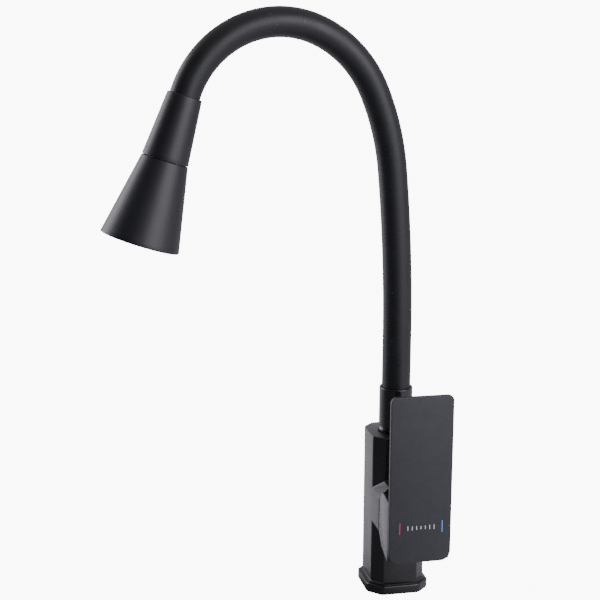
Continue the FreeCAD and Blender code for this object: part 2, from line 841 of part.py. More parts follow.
def head_connector():
    """Threaded spigot: takes the neck's end and the water tube, and carries the turning part's spindle."""
    flange_top = web_top + web_thick
    flange_end = flange_top + spigot_flange_thick
    solid = cylinder(spigot_radius, spigot_top, flange_end)
    solid = solid.fuse(cylinder(spigot_flange_radius, flange_top, flange_end))
    spindle_end = flange_end + port_disc_thick + spindle_length
    solid = solid.fuse(cylinder(spindle_radius, flange_end - 1, spindle_end))
    link_end = spigot_top + link_in_head
    cuts = [cylinder(armour_radius + seat_gap, spigot_top - 1, link_end)]
    cuts.append(cylinder(water_tube_radius + seat_gap, link_end - 1, link_end + 2.0))
    cuts.append(cylinder(spigot_bore, link_end + 2.0, flange_top - 1.0))
    cuts += port_holes(flange_top - 2, flange_end + 1)
    cuts.append(moved(cylinder(stop_pin_radius, flange_top, flange_end + 1), x=stop_pin_pitch))
    groove = flange_end + port_disc_thick + face_gap + port_disc_thick + hub_length + seat_gap
    cuts.append(ring(spindle_radius + 1, spindle_radius - 0.8, groove, groove + clip_thick))
    return to_head(solid.cut(cuts))


def check_valve():
    """Non-return valve cartridge in the spigot's bore, with its poppet's guide open through it."""
    start = spigot_top + link_in_head + 2.0
    end = web_top + web_thick - 1.0
    valve = ring(spigot_bore - seat_gap, 3.2, start, min(start + valve_length, end))
    return to_head(valve)


def neck_nut():
    """Hexagonal nut that pulls the spigot up against the web."""
    nut = hexagon(neck_nut_radius, web_top - neck_nut_thick, web_top)
    return to_head(nut.cut(cylinder(spigot_radius, 0, web_top + 1)))


def fixed_port_disc():
    start = web_top + web_thick + spigot_flange_thick
    end = start + port_disc_thick
    disc = ring(port_disc_radius, spindle_radius, start, end)
    cuts = port_holes(start - 1, end + 1)
    cuts.append(moved(cylinder(stop_pin_radius, start - 1, end + 1), x=stop_pin_pitch))
    return to_head(disc.cut(cuts))


def stop_pin():
    """Pin that limits the lower cone's turn."""
    start = web_top + web_thick
    end = turn_disc_top + port_disc_thick * 0.7
    return to_head(moved(cylinder(stop_pin_radius, start, end), x=stop_pin_pitch))


def turning_port_disc():
    """Turning half of the pair, with a curved slot for the stop pin."""
    start = turn_disc_top
    end = start + port_disc_thick
    disc = ring(port_disc_radius, spindle_radius + running_gap, start, end)
    wide = stop_pin_radius + free_gap
    track = ring(stop_pin_pitch + wide, stop_pin_pitch - wide, start - 1, end + 1)
    quarter = block((0, -REACH, start - 1), (REACH, 0, end + 1))
    cuts = [track.common(quarter)]
    for angle in (0.0, -mode_turn_limit):
        cuts.append(turned(moved(cylinder(wide, start - 1, end + 1), x=stop_pin_pitch), angle))
    cuts += port_holes(start - 1, end + 1)
    return to_head(disc.cut(cuts))


def spindle_clip():
    """Ring in the spindle's groove, under the flow body's hub."""
    start = turn_disc_top + port_disc_thick + hub_length + seat_gap
    return to_head(ring(clip_radius, spindle_radius - 0.8, start, start + clip_thick))


def flow_body():
    """Inner body of the lower cone: a hub on the spindle and a funnel down to the spray face."""
    top = turn_disc_top + port_disc_thick
    bottom = face_bottom - face_thick
    hub_end = top + hub_length
    outer_low = lower_radius(bottom) - lower_wall - seat_gap
    wall = flow_wall
    hub = spindle_radius + running_gap
    shell = revolved([
        (hub, top), (port_disc_radius, top), (port_disc_radius + 0.4, hub_end + flow_shoulder),
        (outer_low - flow_taper, bottom - flow_shoulder),
        (lower_radius(bottom - 3) - lower_wall - seat_gap, bottom - 3), (outer_low, bottom),
        (aerator_radius + aerator_wall, bottom),
        (aerator_radius + aerator_wall, bottom - wall), (outer_low - flow_taper - wall, bottom - wall - 4),
        (port_disc_radius - 1.6, hub_end + flow_shoulder + wall), (port_disc_radius - 1.6, hub_end),
        (hub, hub_end),
    ])
    return to_head(shell.cut(port_holes(top - 1, hub_end + 1)))


def head_lower_cone():
    """Turning lower cone, a thin shell with a rounded lip."""
    start = upper_cone_length + seam_gap
    end = head_length
    shell = revolved([
        (seam_radius - lower_wall, start), (seam_radius - 0.3, start),
        (lower_radius(start + 0.3), start + 0.3),
        (lower_radius(end - 0.8), end - 0.8), (mouth_radius - 0.3, end - 0.2), (mouth_radius - 1.0, end),
        (mouth_radius - 1.6, end), (lower_radius(end - 0.6) - lower_wall, end - 0.6),
    ])
    return to_head(shell)


def nozzle_places():
    places = []
    for radius, count in nozzle_rings:
        for k in range(count):
            a = 2 * math.pi * k / count
            places.append((radius * math.cos(a), radius * math.sin(a)))
    return places


def spray_face():
    start = face_bottom - face_thick
    outer = lower_radius(start) - lower_wall - seat_gap
    plate = ring(outer, aerator_radius + aerator_wall, start, face_bottom)
    holes = [moved(cylinder(nozzle_radius, start - 1, face_bottom + 1), x, y) for x, y in nozzle_places()]
    return to_head(plate.cut(Part.makeCompound(holes)))


def spray_nozzles():
    """Silicone nozzles, one per hole of the face, as separate solids."""
    start = face_bottom - face_thick
    end = face_bottom + nozzle_proud
    tip = nozzle_radius * 0.7
    bore = nozzle_bore
    nozzle = revolved([(bore, start), (nozzle_radius, start), (nozzle_radius, face_bottom), (tip, end), (bore, end)])
    return to_head(Part.makeCompound([moved(nozzle, x, y) for x, y in nozzle_places()]))


def aerator_shell():
    start = face_bottom - face_thick - 4.0
    return to_head(ring(aerator_radius + aerator_wall, aerator_radius, start, face_bottom + aerator_proud))


def aerator_mesh():
    """Screen of crossed bars in the aerator."""
    start = face_bottom - 1.6
    rim = ring(aerator_radius, aerator_radius - 1.0, start, start + 1.2)
    bars = []
    for k in range(-2, 3):
        offset = k * aerator_radius / 3
        half = math.sqrt((aerator_radius - 0.5) ** 2 - offset ** 2)
        bar = block((-half, offset - 0.4, start), (half, offset + 0.4, start + 1.2))
        bars += [bar, turned(bar, 90)]
    return to_head(fused([rim] + bars))


def main():
    os.makedirs("parts", exist_ok=True)
    save("body_casting", body_casting())
    save("base_seal", base_seal())
    save("swivel_screw", swivel_screw())
    save("cartridge_base", cartridge_base())
    save("cartridge_seals", cartridge_seals())
    save("cartridge_housing", cartridge_housing())
    save("fixed_disc", fixed_disc())
    save("moving_disc", moving_disc())
    save("cartridge_carrier", cartridge_carrier())
    save("stem_pin", stem_pin())
    save("cartridge_stem", cartridge_stem())
    save("cartridge_nut", cartridge_nut())
    save("lever_rocker", lever_rocker())
    save("lever_hinge_pin", lever_hinge_pin())
    save("lever_block", lever_block())
    save("stem_bush", stem_bush())
    save("plate_screws", plate_screws())
    save("lever_plate", lever_plate())
    save("hot_mark", side_mark(hot_mark_y))
    save("cold_mark", side_mark(cold_mark_y))
    save("scale_marks", scale_marks())
    save("slip_ring", slip_ring())
    save("spout_collar", spout_collar())
    save("swivel_nipple", swivel_nipple())
    save("swivel_seals", swivel_seals())
    for number in range(1, len(arc_radii) + 2):
        save(f"neck_sleeve_{number}", neck_sleeve(number))
        save(f"neck_link_{number}", neck_link(number))
        save(f"water_tube_{number}", water_tube(number))
    save("head_upper_cone", head_upper_cone())
    save("head_connector", head_connector())
    save("check_valve", check_valve())
    save("neck_nut", neck_nut())
    save("fixed_port_disc", fixed_port_disc())
    save("stop_pin", stop_pin())
    save("turning_port_disc", turning_port_disc())
    save("spindle_clip", spindle_clip())
    save("flow_body", flow_body())
    save("head_lower_cone", head_lower_cone())
    save("spray_face", spray_face())
    save("spray_nozzles", spray_nozzles())
    save("aerator_shell", aerator_shell())
    save("aerator_mesh", aerator_mesh())


main()
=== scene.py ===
import json
import math

import bpy
from mathutils import Matrix, Vector


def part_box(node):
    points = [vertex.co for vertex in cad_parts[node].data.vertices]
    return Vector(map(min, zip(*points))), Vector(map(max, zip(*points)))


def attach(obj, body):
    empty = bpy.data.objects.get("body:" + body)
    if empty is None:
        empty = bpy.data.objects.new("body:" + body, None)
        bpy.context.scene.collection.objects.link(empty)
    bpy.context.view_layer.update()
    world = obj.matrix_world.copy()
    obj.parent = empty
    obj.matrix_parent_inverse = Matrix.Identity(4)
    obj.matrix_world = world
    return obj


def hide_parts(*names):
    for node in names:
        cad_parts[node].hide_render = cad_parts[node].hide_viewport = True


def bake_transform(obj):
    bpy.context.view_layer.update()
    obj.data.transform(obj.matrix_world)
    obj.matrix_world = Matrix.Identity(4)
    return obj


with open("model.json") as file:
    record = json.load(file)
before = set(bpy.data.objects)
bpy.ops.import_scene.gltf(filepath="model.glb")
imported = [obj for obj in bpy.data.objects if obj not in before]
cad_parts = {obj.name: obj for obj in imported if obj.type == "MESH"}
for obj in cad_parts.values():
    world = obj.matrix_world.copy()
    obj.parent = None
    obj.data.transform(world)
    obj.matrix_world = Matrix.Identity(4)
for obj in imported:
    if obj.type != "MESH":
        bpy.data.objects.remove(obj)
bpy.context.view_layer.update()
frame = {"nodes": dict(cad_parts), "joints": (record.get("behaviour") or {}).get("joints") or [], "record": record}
joints = {joint["name"]: joint for joint in frame["joints"]}

# Sizes in millimetres, the same as the source's.
MM = 0.001
section_half = 21.5
section_chamfer = 8.0
column_height = 129.2
boss_height = 73.1
boss_end = 35.3
seat_x = 7.0
nut_x = 29.0
cartridge_bore = 17.6
mouth_bore = 18.5
band_height = 7.4
band_overhang = 3.6
band_round = 1.0
step_depth = 0.7
step_height = 0.9
cove_radius = 2.4
edge_round = 0.9
hose_well = (16.0, 40.0)  # radius, depth
hose_thread = (4.5, 9.0)  # radius, depth
hose_port = (0.5, 8.5)  # place along X, distance to each side
stud = (4.0, 12.0, -9.5)  # radius, depth, place along X
seal_groove = (19.0, 21.6, 1.8)  # inner radius, outer radius, depth
nipple_radius = 10.6
nipple_bottom = 104.2
lock_screw = (2.0, 116.2)  # radius, height
block_start = 36.1
block_end = 71.4
block_drop = 2.3
block_rise = 1.1
block_flare = 2.6
block_wall = 3.2
block_mouth = (6.0, 2.0)  # how far its lower and upper edges stand inside the flat
ear_slot = (8.5, 1.9, 41.8)  # distance to each side, half width, where it ends along X
hinge_hole = (1.25, -19.5)  # radius, blind end along Y
plate_thick = 3.6
plate_height = 130.3
plate_bottom_round = 8.0
plate_top_round = 4.5
plate_edge_round = 0.45
plate_screws = (2.05, 13.0, 2.2)  # radius, distance to each side, reach into the plate
ink_film = 0.12
bar_width = 0.85
tick_width = 0.55
tick_height = 2.6
tick_growth = 0.4
tick_pitch = 3.4
collar_radius = 13.0
collar_bottom = 130.0
collar_height = 35.0
collar_bore = 11.4
collar_flare = 0.7
collar_foot = (0.3, 1.0, 2.4)  # edge radius, straight height, height of the flare above it
collar_rim_round = 0.9
sleeve_radius = 11.2
sleeve_wall = 2.5
straight_top = 205.0
arc_radii = (1290.0, 195.5, 89.0, 74.5, 74.5)
arc_turns = (5.8, 18.4, 42.8, 47.2, 47.1)
spout_turn = 9.0
head_rim_radius = 12.8
seam_radius = 17.2
mouth_radius = 29.4
upper_cone_length = 47.5
seam_gap = 0.6
lower_cone_length = 61.5
upper_wall = 2.2
lower_wall = 2.4
head_rim_round = 0.7
seam_edge_round = 0.2
mouth_lip_round = 0.8
head_web = (37.5, 40.5, 8.1)  # its two faces from the rim, radius of its bore
sleeve_in_head = 6.0


# modelling helpers

def clear_selection():
    if bpy.context.object and bpy.context.object.mode != "OBJECT":
        bpy.ops.object.mode_set(mode="OBJECT")
    bpy.ops.object.select_all(action="DESELECT")


def take(obj):
    """Select one object and make it the active one."""
    clear_selection()
    bpy.context.view_layer.objects.active = obj
    obj.select_set(True)


def settle(name):
    """Name the primitive just added, and put its place into its mesh."""
    made = bpy.context.object
    made.name = name
    made.data.name = name
    bpy.ops.object.transform_apply(location=True, rotation=True, scale=True)
    return made


def box(name, low, high):
    clear_selection()
    centre = [(a + b) / 2 * MM for a, b in zip(low, high)]
    size = [(b - a) * MM for a, b in zip(low, high)]
    bpy.ops.mesh.primitive_cube_add(size=1, location=centre, scale=size)
    return settle(name)


def rod(name, radius, start, end, sides=64):
    """Cylinder between two points."""
    clear_selection()
    a, b = Vector(start) * MM, Vector(end) * MM
    turn = (b - a).to_track_quat("Z", "Y").to_euler()
    bpy.ops.mesh.primitive_cylinder_add(vertices=sides, radius=radius * MM, depth=(b - a).length,
                                        location=(a + b) / 2, rotation=turn)
    return settle(name)


def circle(name, radius, centre, direction, sides):
    clear_selection()
    turn = Vector(direction).to_track_quat("Z", "Y").to_euler()
    bpy.ops.mesh.primitive_circle_add(vertices=sides, radius=radius * MM, location=Vector(centre) * MM,
                                      rotation=turn)
    return settle(name)


def edit(obj, kind):
    """Go into edit mode with everything selected."""
    bpy.context.view_layer.objects.active = obj
    obj.select_set(True)
    bpy.ops.object.mode_set(mode="EDIT")
    bpy.ops.mesh.select_mode(type=kind)
    bpy.ops.mesh.select_all(action="SELECT")


def leave():
    bpy.ops.object.mode_set(mode="OBJECT")


def bevel_picked(width, segments):
    """Bevel the picked edges, width in mm, and leave edit mode."""
    bpy.ops.mesh.bevel(offset=width * MM, offset_type="OFFSET", segments=segments, affect="EDGES")
    leave()


def pick_sharp(angle):
    """In edit mode, pick only the edges sharper than an angle in degrees."""
    bpy.ops.mesh.select_all(action="DESELECT")
    bpy.ops.mesh.edges_select_sharp(sharpness=math.radians(angle))


def pick_faces(obj, test):
    """Select the faces whose centre, in mm, passes the test, and go into edit mode."""
    edit(obj, "FACE")
    bpy.ops.mesh.select_all(action="DESELECT")
    leave()
    for face in obj.data.polygons:
        face.select = test(face.center / MM)
    bpy.ops.object.mode_set(mode="EDIT")


def pick_edges(obj, test):
    """Select the edges whose two ends, in mm, pass the test, and go into edit mode."""
    edit(obj, "EDGE")
    bpy.ops.mesh.select_all(action="DESELECT")
    leave()
    points = obj.data.vertices
    for edge in obj.data.edges:
        a, b = (points[k].co / MM for k in edge.vertices)
        edge.select = test(a, b)
    bpy.ops.object.mode_set(mode="EDIT")


def along_axis(a, b, axis):
    """True if the edge a-b runs along that axis."""
    step = b - a
    return abs(step[axis]) > 0.999 * step.length


def apply_modifier(obj, kind, **settings):
    take(obj)
    added = obj.modifiers.new(kind.title(), kind)
    for key, value in settings.items():
        setattr(added, key, value)
    bpy.ops.object.modifier_apply(modifier=added.name)


def combine(obj, other, operation):
    apply_modifier(obj, "BOOLEAN", object=other, operation=operation, solver="EXACT")
    bpy.data.objects.remove(other)


def drill(obj, radius, start, end, sides=64):
    combine(obj, rod("drill", radius, start, end, sides), "DIFFERENCE")


def smooth(obj, angle=30.0):
    take(obj)
    bpy.ops.object.shade_smooth_by_angle(angle=math.radians(angle))


def finish_piece(obj, body, nodes, material):
    """Give a piece its look, its body and the nodes it stands for."""
    obj.data.materials.clear()
    obj.data.materials.append(material)
    if body:
        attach(obj, body)
    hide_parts(*nodes)


def lathe(name, profile, sides=128):
    """Closed solid of revolution about Z from (radius, height) points, ring after ring."""
    radius, height = profile[0]
    obj = circle(name, radius, (0, 0, height), (0, 0, 1), sides)
    edit(obj, "EDGE")
    for next_radius, next_height in profile[1:] + profile[:1]:
        step = (0, 0, (next_height - height) * MM)
        bpy.ops.mesh.extrude_region_move(TRANSFORM_OT_translate={"value": step})
        share = next_radius / radius
        bpy.ops.transform.resize(value=(share, share, 1), center_override=(0, 0, next_height * MM))
        radius, height = next_radius, next_height
    bpy.ops.mesh.select_all(action="SELECT")
    bpy.ops.mesh.remove_doubles(threshold=1e-6)
    bpy.ops.mesh.normals_make_consistent(inside=False)
    leave()
    return obj


def fillet(centre, radius, start, end, steps=6):
    """Points of an arc from one angle to another, in degrees, in the plane of radius and height."""
    angles = [math.radians(start + (end - start) * k / steps) for k in range(steps + 1)]
    return [(centre[0] + radius * math.cos(a), centre[1] + radius * math.sin(a)) for a in angles]


# procedural materials

def linear(code):
    """Hex colour to linear RGBA."""
    shares = [int(code[k:k + 2], 16) / 255 for k in (0, 2, 4)]
    return tuple(s / 12.92 if s <= 0.04045 else ((s + 0.055) / 1.055) ** 2.4 for s in shares) + (1.0,)


def add(tree, kind, inputs=None, **settings):
    """One node with its settings, input values and incoming links."""
    made = tree.nodes.new("ShaderNode" + kind)
    for key, value in settings.items():
        setattr(made, key, value)
    for key, value in (inputs or {}).items():
        if isinstance(value, bpy.types.NodeSocket):
            tree.links.new(value, made.inputs[key])
        else:
            made.inputs[key].default_value = value
    return made


def per(size):
    """Texture scale for features of that size in mm."""
    return 1.0 / (size * MM)


def begin_material(name):
    material = bpy.data.materials.new(name)
    material.use_nodes = True
    tree = material.node_tree
    tree.nodes.clear()
    place = add(tree, "TexCoord").outputs["Object"]
    return material, tree, place


def end_material(material, tree, shader, code):
    add(tree, "OutputMaterial", {"Surface": shader.outputs["BSDF"]})
    material.diffuse_color = linear(code)
    return material


def spread(tree, value, low, high, from_low=0.3, from_high=0.7):
    """Stretch a noise value to a range."""
    return add(tree, "MapRange", {"Value": value, "From Min": from_low, "From Max": from_high,
                                  "To Min": low, "To Max": high}).outputs["Result"]


def tint(tree, factor, first, second):
    mix = add(tree, "Mix", data_type="RGBA")
    tree.links.new(factor, mix.inputs[0])
    mix.inputs[6].default_value = linear(first)
    mix.inputs[7].default_value = linear(second)
    return mix.outputs[2]


def noise(tree, place, size, detail=4.0, roughness=0.55):
    return add(tree, "TexNoise", {"Vector": place, "Scale": per(size), "Detail": detail,
                                  "Roughness": roughness}).outputs["Fac"]


def grain_bump(tree, heights, depth):
    """Bump from one or more (value, strength) pairs, chained. Depth in mm."""
    normal = None
    for value, strength in heights:
        inputs = {"Height": value, "Strength": strength, "Distance": depth * MM}
        if normal:
            inputs["Normal"] = normal
        normal = add(tree, "Bump", inputs).outputs["Normal"]
    return normal


def specks(tree, place, size, share):
    """Sparse round specks, 1 inside them."""
    cells = add(tree, "TexVoronoi", {"Vector": place, "Scale": per(size)})
    return add(tree, "Math", {0: cells.outputs["Distance"], 1: share}, operation="LESS_THAN").outputs[0]


def painted(name, dark, light, rough, coat=0.0, peel=1.4, peel_strength=0.06):
    """Powder-coated or sprayed metal: fine tooth, faint orange peel, uneven gloss."""
    material, tree, place = begin_material(name)
    mottling = noise(tree, place, 11.0, 5.0)  # slow drift in the film's depth
    tooth = noise(tree, place, 0.22, 2.0)  # powder grains, drawn four times too coarse so that they show
    skin = noise(tree, place, peel, 2.0, 0.4)  # orange peel
    handling = noise(tree, place, 26.0, 3.0)  # patches that hands have polished
    colour = tint(tree, spread(tree, mottling, 0.0, 1.0), dark, light)
    shader = add(tree, "BsdfPrincipled", {
        "Base Color": colour, "Metallic": 0.0,
        "Roughness": spread(tree, handling, rough - 0.035, rough + 0.035),
        "Coat Weight": coat, "Coat Roughness": 0.22,
        "Normal": grain_bump(tree, [(tooth, 0.03), (skin, peel_strength)], 0.02),
    })
    return end_material(material, tree, shader, dark)


def silicone(name, dark, light, rough, dust=0.07):
    """Moulded silicone: matt, soft sheen and a few grains of dust that cling to it."""
    material, tree, place = begin_material(name)
    cloud = noise(tree, place, 16.0, 4.0)
    pores = noise(tree, place, 0.35, 3.0)  # the mould's blasting, drawn coarser than it is so that it shows
    grains = specks(tree, place, 7.0, dust)
    lint = specks(tree, place, 3.1, dust * 0.5)
    marks = add(tree, "Math", {0: grains, 1: lint}, operation="MAXIMUM").outputs[0]
    base = tint(tree, spread(tree, cloud, 0.0, 1.0), dark, light)
    mix = add(tree, "Mix", data_type="RGBA")
    tree.links.new(marks, mix.inputs[0])
    tree.links.new(base, mix.inputs[6])
    mix.inputs[7].default_value = linear("6f6f76")
    shader = add(tree, "BsdfPrincipled", {
        "Base Color": mix.outputs[2], "Metallic": 0.0,
        "Roughness": spread(tree, cloud, rough - 0.04, rough + 0.04),
        "Specular IOR Level": 0.4,
        "Normal": grain_bump(tree, [(pores, 0.07)], 0.03),
    })
    return end_material(material, tree, shader, dark)


def moulded(name, dark, light, rough, grain=0.5, subsurface=0.0):
    """Injection-moulded plastic with a spark-eroded grain and faint flow clouds."""
    material, tree, place = begin_material(name)
    cloud = noise(tree, place, 14.0, 4.0)
    erosion = noise(tree, place, grain, 3.0)  # the mould's grain
    shader = add(tree, "BsdfPrincipled", {
        "Base Color": tint(tree, spread(tree, cloud, 0.0, 1.0), dark, light), "Metallic": 0.0,
        "Roughness": spread(tree, erosion, rough - 0.04, rough + 0.04),
        "Subsurface Weight": subsurface, "Subsurface Scale": 1.5 * MM,
        "Normal": grain_bump(tree, [(erosion, 0.05)], 0.02),
    })
    return end_material(material, tree, shader, dark)


def machined(name, dark, light, rough, feed=0.25):
    """Turned metal with fine tool lines, one per feed of the tool in mm, and faint staining."""
    material, tree, place = begin_material(name)
    drawn = add(tree, "Mapping", {"Vector": place, "Scale": (0.04, 1, 1)}).outputs["Vector"]
    lines = noise(tree, drawn, feed, 3.0)
    stain = noise(tree, place, 7.0, 5.0)
    shader = add(tree, "BsdfPrincipled", {
        "Base Color": tint(tree, spread(tree, stain, 0.0, 1.0), dark, light), "Metallic": 1.0,
        "Roughness": spread(tree, lines, rough - 0.06, rough + 0.08),
        "Normal": grain_bump(tree, [(lines, 0.14)], 0.02),
    })
    return end_material(material, tree, shader, dark)


def ceramic(name, dark, light):
    """Lapped alumina: smooth, faintly mottled, a little light gets in."""
    material, tree, place = begin_material(name)
    mottle = noise(tree, place, 1.6, 5.0)
    lapping = noise(tree, place, 0.08, 2.0)  # lapping grit
    shader = add(tree, "BsdfPrincipled", {
        "Base Color": tint(tree, spread(tree, mottle, 0.0, 1.0), dark, light), "Metallic": 0.0,
        "Roughness": spread(tree, lapping, 0.14, 0.24),
        "Subsurface Weight": 0.1, "Subsurface Scale": 0.6 * MM,
        "Normal": grain_bump(tree, [(lapping, 0.05)], 0.01),
    })
    return end_material(material, tree, shader, light)


def printed(name, dark, light):
    """Pad-printed ink: nearly flat, with pinholes and a slightly uneven film."""
    material, tree, place = begin_material(name)
    film = noise(tree, place, 0.9, 4.0)
    screen = noise(tree, place, 0.12, 2.0)  # pinholes
    shader = add(tree, "BsdfPrincipled", {
        "Base Color": tint(tree, spread(tree, film, 0.0, 1.0), dark, light), "Metallic": 0.0,
        "Roughness": spread(tree, film, 0.45, 0.58),
        "Normal": grain_bump(tree, [(screen, 0.15)], 0.01),
    })
    return end_material(material, tree, shader, dark)


def wound_strip(name, dark, light, pitch=2.2):
    """Wound steel strip: bright crowns and dark overlaps along the tube."""
    material, tree, place = begin_material(name)
    wave = add(tree, "TexWave", {"Vector": place, "Scale": per(pitch) / math.tau, "Distortion": 0.4},
               wave_type="BANDS", bands_direction="Z")
    stain = noise(tree, place, 5.0, 4.0)
    shader = add(tree, "BsdfPrincipled", {
        "Base Color": tint(tree, spread(tree, stain, 0.0, 1.0), dark, light), "Metallic": 1.0,
        "Roughness": spread(tree, stain, 0.26, 0.38),
        "Normal": grain_bump(tree, [(wave.outputs["Fac"], 0.5), (stain, 0.05)], 0.3),
    })
    return end_material(material, tree, shader, dark)


looks = {
    # sprayed and powder-coated metal: soft highlights along the edges, brighter at a low angle
    "satin_black_brass": painted("satin_black_powder_paint_on_brass", "121113", "19181b", 0.28, coat=0.15),
    "satin_black_zinc": painted("satin_black_powder_paint_on_zinc", "121113", "19181b", 0.29, coat=0.15),
    "satin_black_collar": painted("semi_gloss_black_lacquer_on_brass_tube", "09090b", "0d0d0f", 0.27,
                                  coat=0.1),
    # matt sprayed paint: an even grey that hardly mirrors anything
    "matt_grey_plate": painted("matt_graphite_paint", "232329", "29292f", 0.44, peel=0.9, peel_strength=0.05),
    # pad printing: flat opaque colour
    "hot_ink": printed("red_pad_print", "a5303a", "b5414a"),
    "cold_ink": printed("blue_pad_print", "4c8be0", "5b9bea"),
    "white_ink": printed("off_white_pad_print", "d2d2d6", "e4e4e6"),
    # moulded rubber and silicone: broad dull sheen, with dust that clings to it
    "black_silicone": silicone("matt_black_silicone", "0e0f12", "131418", 0.45, dust=0.035),
    "black_rubber": silicone("black_nitrile_rubber", "101011", "171718", 0.6, dust=0.04),
    # injection-moulded plastics inside: dull, the pale ones let a little light in
    "black_nylon": moulded("black_nylon", "101012", "161618", 0.5),
    "grey_nylon": moulded("glass_filled_grey_nylon", "7b7d80", "8f9194", 0.5, grain=0.3),
    "white_acetal": moulded("white_acetal", "dcdcd8", "e8e8e4", 0.36, subsurface=0.15),
    "white_pex": moulded("white_pex_tube", "d6d8d4", "e2e4e0", 0.4, subsurface=0.2),
    # lapped ceramic: smooth, warm white, quietly glossy
    "alumina": ceramic("lapped_alumina", "e4e2dc", "f0eee9"),
    # turned and wound metal: bright streaks along the tool lines or the winding
    "raw_brass": machined("turned_brass", "b3934f", "c7a863", 0.27),
    "steel": machined("turned_stainless_steel", "a4a6a8", "b9bbbd", 0.27),
    "armour_steel": wound_strip("wound_stainless_strip", "9fa1a3", "b2b4b6"),
    # injection-moulded plastics of the head: one soft streak of light down the cones, fine grain
    "satin_black_abs": moulded("satin_black_abs", "0e0f13", "131419", 0.46, grain=0.35),
    "face_abs": moulded("matt_black_abs", "161618", "1c1c1f", 0.5, grain=0.3),
    "face_ring": moulded("gloss_black_abs", "121214", "17171a", 0.22, grain=0.8),
    "nozzle_silicone": silicone("dark_grey_silicone", "3b3b3e", "454549", 0.5, dust=0.0),
}
slot_of = {part["node"]: part["material_slot"] for part in frame["record"]["subparts"]}
for node_name, node in frame["nodes"].items():
    node.data.materials.clear()
    node.data.materials.append(looks[slot_of[node_name]])
    smooth(node, 30.0)


# column, base moulding and side boss

def chamfered_bar(name, low, high, axis, chamfer):
    """Box whose long edges, along one axis, are chamfered."""
    bar = box(name, low, high)
    pick_edges(bar, lambda a, b: along_axis(a, b, axis))
    bevel_picked(chamfer, 1)
    return bar


def step_face(inward, outward, grow=False):
    """Move the picked face inward by one distance and along its normal by another, in mm."""
    bpy.ops.mesh.inset(thickness=inward * MM, depth=outward * MM, use_even_offset=True, use_outset=grow)


def round_off(radius, steps):
    """Round the edge between the picked face and its sides."""
    for k in range(steps):
        a, b = (math.pi / 2 * (k + n) / steps for n in (0, 1))
        step_face(radius * (math.cos(a) - math.cos(b)), radius * (math.sin(b) - math.sin(a)))


def base_moulding():
    """Rounded band, step and cove, grown face after face up to the column's outline."""
    out = section_half + band_overhang
    corner = section_chamfer + band_overhang * (2 - math.sqrt(2))
    moulding = chamfered_bar("moulding", (-out, -out, band_round),
                             (out, out, band_height - band_round), 2, corner)
    column_corner = edge_round / math.tan(math.radians(22.5))
    pick_edges(moulding, lambda a, b: along_axis(a, b, 2))
    reach = (column_corner + band_overhang) * math.tan(math.radians(22.5))
    bevel_picked(reach, 8)
    pick_faces(moulding, lambda c: c.z < band_round + 0.01)
    round_off(band_round, 5)
    leave()
    pick_faces(moulding, lambda c: c.z > band_height - band_round - 0.01)
    round_off(band_round, 5)
    step_face(step_depth, 0.0)
    step_face(0.0, step_height)
    lip = section_half + cove_radius - (out - band_round - step_depth)
    step_face(lip, 0.0, grow=True)
    steps = 10
    short = 0.99  # the cove stops just outside the column, so that the two still join
    for k in range(steps):
        a, b = (math.pi / 2 * (k + n) / steps for n in (0, 1))
        step_face(cove_radius * (math.sin(b) - math.sin(a)) * short,
                  cove_radius * (math.cos(a) - math.cos(b)))
    leave()
    return moulding


def body_shell():
    column = chamfered_bar("body_shell", (-section_half, -section_half, band_round),
                           (section_half, section_half, column_height), 2, section_chamfer)
    boss = chamfered_bar("boss", (0, -section_half, boss_height - section_half),
                         (boss_end, section_half, boss_height + section_half), 0, section_chamfer)
    combine(column, boss, "UNION")
    edit(column, "EDGE")
    bpy.ops.mesh.remove_doubles(threshold=1e-6)
    bpy.ops.mesh.dissolve_limited(angle_limit=math.radians(0.5))
    pick_sharp(25)
    bpy.ops.mesh.bevel(offset=edge_round * MM, offset_type="OFFSET", segments=5, affect="EDGES",
                       clamp_overlap=True)
    leave()
    combine(column, base_moulding(), "UNION")
    drill(column, cartridge_bore, (seat_x, 0, boss_height), (boss_end + 5, 0, boss_height), 96)
    drill(column, mouth_bore, (nut_x, 0, boss_height), (boss_end + 5, 0, boss_height), 96)
    well_radius, well_depth = hose_well
    drill(column, well_radius, (0, 0, -5), (0, 0, well_depth), 96)
    thread_radius, thread_depth = hose_thread
    port_x, port_y = hose_port
    for y in (-port_y, port_y):
        drill(column, thread_radius, (port_x, y, well_depth - 1), (port_x, y, well_depth + thread_depth))
    stud_radius, stud_depth, stud_x = stud
    drill(column, stud_radius, (stud_x, 0, well_depth - 1), (stud_x, 0, well_depth + stud_depth))
    drill(column, nipple_radius, (0, 0, nipple_bottom), (0, 0, column_height + 5), 96)
    screw_radius, screw_height = lock_screw
    drill(column, screw_radius, (0, 0, screw_height), (0, section_half + 5, screw_height), 48)
    inner, outer, depth = seal_groove
    groove = rod("groove", outer, (0, 0, -5), (0, 0, depth), 128)
    combine(groove, rod("core", inner, (0, 0, -6), (0, 0, depth + 1), 128), "DIFFERENCE")
    combine(column, groove, "DIFFERENCE")
    smooth(column, 40.0)
    finish_piece(column, "base", ["body_casting"], looks["satin_black_brass"])


# lever

